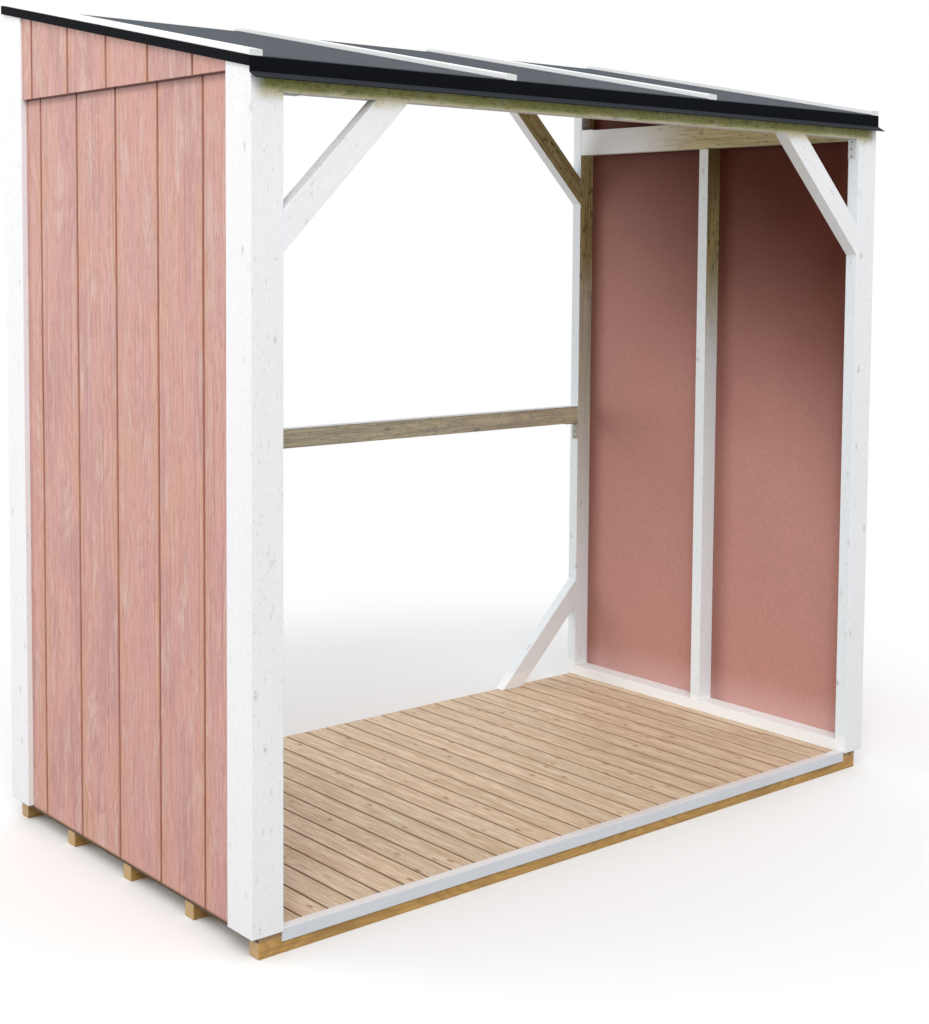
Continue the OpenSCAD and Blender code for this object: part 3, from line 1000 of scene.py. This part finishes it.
@once
def screws_tree():
    """A pan-head screw on each point, standing along the point's aim, with a flat dark cross on its
    head as painted shade for the drive recess.
    """
    tree, entry, put_out = new_group("Screws", "GeometryNodeTree", {
        "Points": GEOMETRY, "Radius": 0.004, "Height": 0.0015, "Seed": 0, "Head": MATERIAL,
        "Recess": MATERIAL,
    }, ("Geometry",))
    radius, height = entry["Radius"], entry["Height"]
    head = geometry(tree, "MeshCone", {
        "Vertices": 14, "Radius Top": radius * 0.72, "Radius Bottom": radius, "Depth": height})
    arm, slim, thick = radius * 0.95, radius * 0.22, height * 0.1
    bars = [geometry(tree, "MeshCube", {"Size": joined(*flat, thick)})
            for flat in ((arm, slim), (slim, arm))]
    recess = geometry(tree, "Transform", {
        "Geometry": together(*bars), "Translation": joined(0.0, 0.0, height)})
    recess = kept(recess, "recess", True, "BOOLEAN", "FACE")
    stand = add(tree, "FunctionNodeAlignRotationToVector", {"Vector": carried(tree, "aim")}, axis="Z")
    spin = add(tree, "FunctionNodeRandomValue", {2: 0.0, 3: math.pi, "Seed": entry["Seed"]}, 1,
               data_type="FLOAT")
    spin = add(tree, "FunctionNodeAxisAngleToRotation", {"Axis": (0, 0, 1), "Angle": spin})
    turned = add(tree, "FunctionNodeRotateRotation", {"Rotation": stand, "Rotate By": spin},
                 rotation_space="LOCAL")
    screws = realized(copies(entry["Points"], together(head, recess), Rotation=turned))
    screws = painted(screws, entry["Head"])
    return put_out(Geometry=painted(screws, entry["Recess"], carried(tree, "recess", "BOOLEAN")))


# --------------------------------------------------------------- operators


class BuildOperator:
    """What every build step of the log store shares."""

    bl_options = {"REGISTER", "UNDO"}


class LOGSTORE_OT_stage(BuildOperator, bpy.types.Operator):
    """Set up the floor, the soft light and the camera"""

    bl_idname = "log_store.stage"
    bl_label = "Stage"

    def execute(self, context):
        look = settings("stage")
        context.scene.view_settings.view_transform = "Standard"
        for step in (self.add_camera, self.add_lights, self.add_world, self.add_floor):
            step(context.scene, look)
        return {"FINISHED"}

    def add_camera(self, scene, look):
        data = bpy.data.cameras.new("Camera")
        data.lens, data.sensor_width = look.lens, 36.0
        data.shift_x, data.shift_y = look.shift_x, look.shift_y
        data.clip_end = 200
        camera = bpy.data.objects.new("Camera", data)
        camera.location = look.camera_place
        camera.rotation_euler = look.camera_turn
        scene.collection.objects.link(camera)
        scene.camera = camera

    def add_lights(self, scene, look):
        target = Vector((0, 0, 1.0))
        # Each lamp's name, power, width and place
        for name, power, size, place in (
            ("Key light", look.key, 13.6, Vector((-11.1, -14.1, 18.4))),
            ("Back light", look.back_light, 8.0, Vector((-10.0, 9.0, 2.8))),
        ):
            data = bpy.data.lights.new(name, "AREA")
            data.energy, data.size = power, size
            lamp = bpy.data.objects.new(name, data)
            lamp.location = place
            lamp.rotation_euler = (target - place).to_track_quat("-Z", "Y").to_euler()
            scene.collection.objects.link(lamp)

    def add_world(self, scene, look):
        world = bpy.data.worlds.new("Studio")
        world.use_nodes = True
        tree = world.node_tree
        tree.nodes.clear()
        ray = self.ray_kinds(tree)
        seen = most(most(ray["Is Camera Ray"], ray["Is Glossy Ray"]), ray["Is Transmission Ray"])
        even, white = (add(tree, "ShaderNodeBackground", {"Color": (1, 1, 1, 1), "Strength": strength})
                       for strength in (look.ambient, 1.0))
        shown = add(tree, "ShaderNodeMixShader", {0: seen, 1: even, 2: white})
        add(tree, "ShaderNodeOutputWorld", {0: shown})
        scene.world = world

    def add_floor(self, scene, look):
        mesh = bpy.data.meshes.new("Floor")
        bm = bmesh.new()
        bmesh.ops.create_circle(bm, cap_ends=True, radius=30, segments=96)
        bm.to_mesh(mesh)
        bm.free()
        material = bpy.data.materials.new("Floor")
        material.use_nodes = True
        tree = material.node_tree
        tree.nodes.clear()
        seen = self.ray_kinds(tree)["Is Camera Ray"]
        distance = add(tree, "ShaderNodeVectorMath", {0: object_place(tree).scaled(1.0, 1.0, 0.0)},
                       "Value", operation="LENGTH")
        bounce = (look.floor_bounce,) * 3
        pale = add(tree, "ShaderNodeBsdfDiffuse", {"Color": mix(seen, bounce, look.floor)})
        white = add(tree, "ShaderNodeEmission", {"Color": (1, 1, 1, 1), "Strength": 1.0})
        away = distance.band(look.clear_from, look.clear_to) * seen
        shown = add(tree, "ShaderNodeMixShader", {0: away, 1: pale, 2: white})
        add(tree, "ShaderNodeOutputMaterial", {0: shown})
        mesh.materials.append(material)
        floor = bpy.data.objects.new("Floor", mesh)
        scene.collection.objects.link(floor)

    def ray_kinds(self, tree):
        """What kind of ray meets the surface, by name."""
        return outputs_of(tree.nodes.new("ShaderNodeLightPath"))


class LOGSTORE_OT_sleepers(BuildOperator, bpy.types.Operator):
    """Build the five sleepers"""

    bl_idname = "log_store.sleepers"
    bl_label = "Sleepers"

    def execute(self, context):
        look = settings("timber")
        dark, knot = (0.3, 0.17, 0.05), (0.2, 0.12, 0.03)
        brown = raw_timber(
            "Treated timber", tuple(look.sleeper), dark, knot, 0.005, tuple(look.sleeper_end))
        for place in ("front", "front_inner", "middle", "back_inner", "back"):
            timber("sleeper_" + place, X, brown, "treated_timber", look.edge_round, across=Z)
        return {"FINISHED"}


class LOGSTORE_OT_floor_boards(BuildOperator, bpy.types.Operator):
    """Lay the floor boards from front to back, with a gap between each two"""

    bl_idname = "log_store.floor_boards"
    bl_label = "Floor boards"

    def execute(self, context):
        look = settings("floor")
        low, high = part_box("floor_deck")
        mesh = laid_boards(look.pitch, look.first_gap, look.gap, look.edge_round, low.x, high.x,
                           high.y - low.y, high.z - low.z, look.seed, floor_pine())
        mesh.transform(Matrix.Translation((0, 0, (low.z + high.z) / 2)))
        link_piece("floor_boards", mesh, [], ["floor_deck"])
        return {"FINISHED"}


class LOGSTORE_OT_floor_edging(BuildOperator, bpy.types.Operator):
    """Fit the metal edging along the floor's front"""

    bl_idname = "log_store.floor_edging"
    bl_label = "Floor edging"

    def execute(self, context):
        worn, dust_and_sheen, backing_and_bounce = (0.72, 0.72, 0.74), (0.81, 0.73, 0.69), (0.6, 0.6, 0.6)
        pale = coated_metal(
            "Edging metal", tuple(settings("floor").edging), 0.3, 0.6, worn, dust_and_sheen, backing_and_bounce)
        fold_round = 0.0018
        mesh = rounded_mesh("front_edging", fold_round, segments=3)
        link_piece("floor_edging", mesh, [pale], ["front_edging"])
        return {"FINISHED"}


def both_at(place):
    """A test for an edge that lies this far out to one side."""
    return lambda a, b: all(abs(abs(point.x) - place) < ON_EDGE for point in (a, b))


class LOGSTORE_OT_frame_timbers(BuildOperator, bpy.types.Operator):
    """Build the posts, plates, studs, rails and beams"""

    bl_idname = "log_store.frame_timbers"
    bl_label = "Frame timbers"

    def execute(self, context):
        joint_with_board = both_at(abs(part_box("post_front_left")[0].x))
        for side in SIDES:
            for part, along, sharp in (
                ("post_front_", Z, joint_with_board), ("post_back_", Z, joint_with_board),
                ("stud_", Z, None), ("plate_", Y, None), ("side_rail_", Y, None),
            ):
                white_timber(part + side, along, sharp=sharp)
        for part, slot in (
            ("back_beam", "white_timber"), ("back_rail", "white_timber"),
            ("front_beam", "mossy_timber"),
        ):
            white_timber(part, X, slot, across=Z)
        return {"FINISHED"}


class LOGSTORE_OT_corner_boards(BuildOperator, bpy.types.Operator):
    """Build the white boards at the four corners"""

    bl_idname = "log_store.corner_boards"
    bl_label = "Corner boards"

    def execute(self, context):
        look = settings("timber")
        inner = abs(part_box("corner_board_front_left")[1].x)
        for side in SIDES:
            for part in ("corner_board_front_", "corner_board_back_"):
                board = timber(part + side, Z, white_paint(), "white_timber", look.board_round,
                               sharp=both_at(inner))
                board.data.materials.append(cladding_inside())
                for face in board.data.polygons:
                    if abs(face.normal.x) > 0.9 and abs(abs(face.center.x) - inner) < ON_EDGE:
                        face.material_index = 1
        return {"FINISHED"}


class LOGSTORE_OT_braces(BuildOperator, bpy.types.Operator):
    """Build the diagonal braces at the front and back"""

    bl_idname = "log_store.braces"
    bl_label = "Braces"

    def execute(self, context):
        for side, out in SIDES.items():
            for part, rise in (("front_", 1), ("back_upper_", 1), ("back_lower_", -1)):
                white_timber("brace_" + part + side, Vector((-out, 0, rise)))
        return {"FINISHED"}


class LOGSTORE_OT_wall_sheets(BuildOperator, bpy.types.Operator):
    """Build the grooved sheets of the side walls and gables"""

    bl_idname = "log_store.wall_sheets"
    bl_label = "Wall sheets"

    def execute(self, context):
        look = settings("cladding")
        for side, out in SIDES.items():
            for part, first in (
                ("wall_sheet_", look.wall_groove), ("gable_sheet_", look.gable_groove)
            ):
                low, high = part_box(part + side)
                mesh = from_tree(grooved_sheet_tree(), {
                    "Pitch": look.pitch, "First Groove": first,
                    "Groove Width": look.groove_width, "Groove Depth": look.groove_depth,
                    "Front": low.y, "Back": high.y, "Outer Face": max(abs(low.x), abs(high.x)),
                    "Thickness": high.x - low.x, "Foot": low.z, "Roof Height": ROOF_MIDDLE,
                    "Roof Slope": ROOF_SLOPE, "Side": float(out),
                    "Outside": cladding_outside(first), "Inside": cladding_inside(),
                })
                link_piece(part + side + "_boards", mesh, [], [part + side])
        return {"FINISHED"}


def on_roof(height):
    """Carries a mesh made level, across X and along Y, up onto the roof's slope."""
    lean = Matrix.Identity(4)
    lean[2][1] = ROOF_SLOPE
    lean[2][3] = ROOF_MIDDLE + height
    return lean


def above_underside(point_y, point_z):
    """How far a point is above the underside of the roof boards."""
    return point_z - (ROOF_MIDDLE + ROOF_SLOPE * point_y)


class LOGSTORE_OT_roof_boards(BuildOperator, bpy.types.Operator):
    """Lay the roof boards from side to side and the two rafters under them"""

    bl_idname = "log_store.roof_boards"
    bl_label = "Roof boards and rafters"

    def execute(self, context):
        look = settings("roof")
        low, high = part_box("roof_deck")
        thick = above_underside(high.y, high.z)
        dark, knot = (0.42, 0.27, 0.14), (0.2, 0.09, 0.03)
        pine = raw_timber("Roof timber", tuple(settings("timber").rafter), dark, knot, 0.007)
        pitch, joint = look.board_pitch, look.joint
        mesh = laid_boards(pitch, low.y + pitch - joint / 2, joint, look.board_round, low.y, high.y,
                           high.x - low.x, thick, look.seed, pine)
        mesh.transform(Matrix(((0, 1, 0, 0), (1, 0, 0, 0), (0, 0, 1, 0), (0, 0, 0, 1))))
        mesh.flip_normals()
        mesh.transform(on_roof(thick / 2))
        link_piece("roof_boards", mesh, [], ["roof_deck"])
        for side in SIDES:
            white_timber("rafter_" + side, Y)
        return {"FINISHED"}


class LOGSTORE_OT_roof_felt(BuildOperator, bpy.types.Operator):
    """Finish the roofing felt"""

    bl_idname = "log_store.roof_felt"
    bl_label = "Roofing felt"

    def execute(self, context):
        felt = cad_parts["roof_felt"]
        felt.data.materials.clear()
        felt.data.materials.append(mineral_felt())
        return {"FINISHED"}


class LOGSTORE_OT_roof_battens(BuildOperator, bpy.types.Operator):
    """Fix the white battens down the slope of the roof"""

    bl_idname = "log_store.roof_battens"
    bl_label = "Roof battens"

    def execute(self, context):
        look = settings("roof")
        low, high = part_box("roof_battens")
        points = [v.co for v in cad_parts["roof_battens"].data.vertices]
        edges = sorted({round(p.x, 4) for p in points})
        width, step = edges[1] - edges[0], edges[2] - edges[0]
        front = [p.z for p in points if abs(p.y - low.y) < ON_EDGE]
        thick = max(front) - min(front)
        mesh = laid_boards(step, low.x + width / 2 + step / 2, step - width, look.batten_round,
                           low.x, high.x, high.y - low.y, thick, look.seed, batten_paint())
        mesh.transform(on_roof(above_underside(low.y, min(front)) + thick / 2))
        link_piece("roof_batten_strips", mesh, [], ["roof_battens"])
        return {"FINISHED"}


class LOGSTORE_OT_flashings(BuildOperator, bpy.types.Operator):
    """Finish the dark flashings round the roof's edges with rounded folds"""

    bl_idname = "log_store.flashings"
    bl_label = "Flashings"

    def execute(self, context):
        look = settings("roof")
        worn, dust_and_sheen, backing_and_bounce = (0.011, 0.012, 0.015), (0.075, 0.082, 0.1), (0.1, 0.11, 0.135)
        black = coated_metal(
            "Flashing metal", tuple(look.flashing), 0.6, 0.02, worn, dust_and_sheen, backing_and_bounce)
        for node in (
            "verge_flashing_left", "verge_flashing_right", "eaves_flashing", "back_flashing"
        ):
            link_piece(node + "_sheet", rounded_mesh(node, look.fold_round), [black], [node])
        return {"FINISHED"}


class LOGSTORE_OT_angle_brackets(BuildOperator, bpy.types.Operator):
    """Fit the six angle brackets and their screws"""

    bl_idname = "log_store.angle_brackets"
    bl_label = "Angle brackets"

    def execute(self, context):
        look = settings("fittings")
        zinc = zinc_metal("Zinc", tuple(look.zinc), 0.45)
        mesh = rounded_mesh("angle_brackets", look.corner_round)
        link_piece("angle_bracket_plates", mesh, [zinc], ["angle_brackets"])
        steel = zinc_metal("Screw", tuple(look.screw), 0.35)
        hole_height = 0.0001
        # The nail holes are flat dark discs: painted shade in the holes
        for name, steps, radius, height, head in (
            ("screws", (-0.26, 0.26), look.screw_radius, look.screw_height, steel),
            ("nail_holes", (-0.39, 0.0, 0.39), look.hole_radius, hole_height, recess_shade_paint()),
        ):
            mesh = from_tree(screws_tree(), {
                "Radius": radius, "Height": height, "Seed": 5, "Head": head,
                "Recess": recess_shade_paint(),
            }, self.spots(steps))
            link_piece("angle_bracket_" + name, mesh, [], [])
        return {"FINISHED"}

    def spots(self, steps):
        """Points down the middle of each leg, at these shares of its length, with their aim."""
        places = self.leg_places(steps)
        base = bpy.data.meshes.new("spots")
        base.from_pydata([place for place, _ in places], [], [])
        aim = base.attributes.new("aim", "FLOAT_VECTOR", "POINT")
        aim.data.foreach_set("vector", [part for _, direction in places for part in direction])
        return base

    def leg_places(self, steps):
        """Place and direction of each point on the open face of each leg."""
        least_side = 0.02
        bm = merged("angle_brackets")
        spots = []
        for face in bm.faces:
            corners = [v.co for v in face.verts]
            size = [max(c[i] for c in corners) - min(c[i] for c in corners) for i in range(3)]
            flat = [i for i in range(3) if size[i] > least_side]
            if len(flat) != 2 or len(corners) != 4 or not self.in_the_angle(face):
                continue
            middle = face.calc_center_median()
            long_way = max(flat, key=lambda i: size[i])
            for step in steps:
                place = middle.copy()
                place[long_way] += step * size[long_way]
                spots.append((place, face.normal.copy()))
        bm.free()
        return spots

    def in_the_angle(self, face):
        """True for a leg's open face: it shares an edge with the other leg's open face."""
        least_area = 0.0008
        middle = face.calc_center_median()
        return any(
            other is not face and other.calc_area() > least_area
            and (other.calc_center_median() - middle).dot(face.normal) > 0
            and (middle - other.calc_center_median()).dot(other.normal) > 0
            for edge in face.edges for other in edge.link_faces
        )


PIECES = (
    LOGSTORE_OT_stage, LOGSTORE_OT_sleepers, LOGSTORE_OT_floor_boards, LOGSTORE_OT_floor_edging,
    LOGSTORE_OT_frame_timbers, LOGSTORE_OT_corner_boards, LOGSTORE_OT_braces,
    LOGSTORE_OT_wall_sheets, LOGSTORE_OT_roof_boards, LOGSTORE_OT_roof_felt,
    LOGSTORE_OT_roof_battens, LOGSTORE_OT_flashings, LOGSTORE_OT_angle_brackets,
)
SETTINGS = {
    "log_store_stage": StageSettings, "log_store_timber": TimberSettings,
    "log_store_floor": FloorSettings, "log_store_cladding": CladdingSettings,
    "log_store_roof": RoofSettings, "log_store_fittings": FittingSettings,
}


class LOGSTORE_PT_build(bpy.types.Panel):
    """The build steps and their settings"""

    bl_idname = "LOGSTORE_PT_build"
    bl_label = "Log Store"
    bl_space_type = "VIEW_3D"
    bl_region_type = "UI"
    bl_category = "Log Store"

    def draw(self, context):
        for step in PIECES:
            self.layout.operator(step.bl_idname)
        for name, group in SETTINGS.items():
            box = self.layout.box()
            box.label(text=group.__doc__)
            for setting in group.__annotations__:
                box.prop(getattr(context.scene, name), setting)


CLASSES = (*SETTINGS.values(), *PIECES, LOGSTORE_PT_build)


def register():
    for made in CLASSES:
        bpy.utils.register_class(made)
    for name, group in SETTINGS.items():
        setattr(bpy.types.Scene, name, PointerProperty(type=group))


def unregister():
    for name in SETTINGS:
        delattr(bpy.types.Scene, name)
    for made in reversed(CLASSES):
        bpy.utils.unregister_class(made)


def main():
    """Builds every piece in order."""
    register()
    for step in PIECES:
        group, name = step.bl_idname.split(".")
        getattr(getattr(bpy.ops, group), name)()


if __name__ == "__main__":
    main()
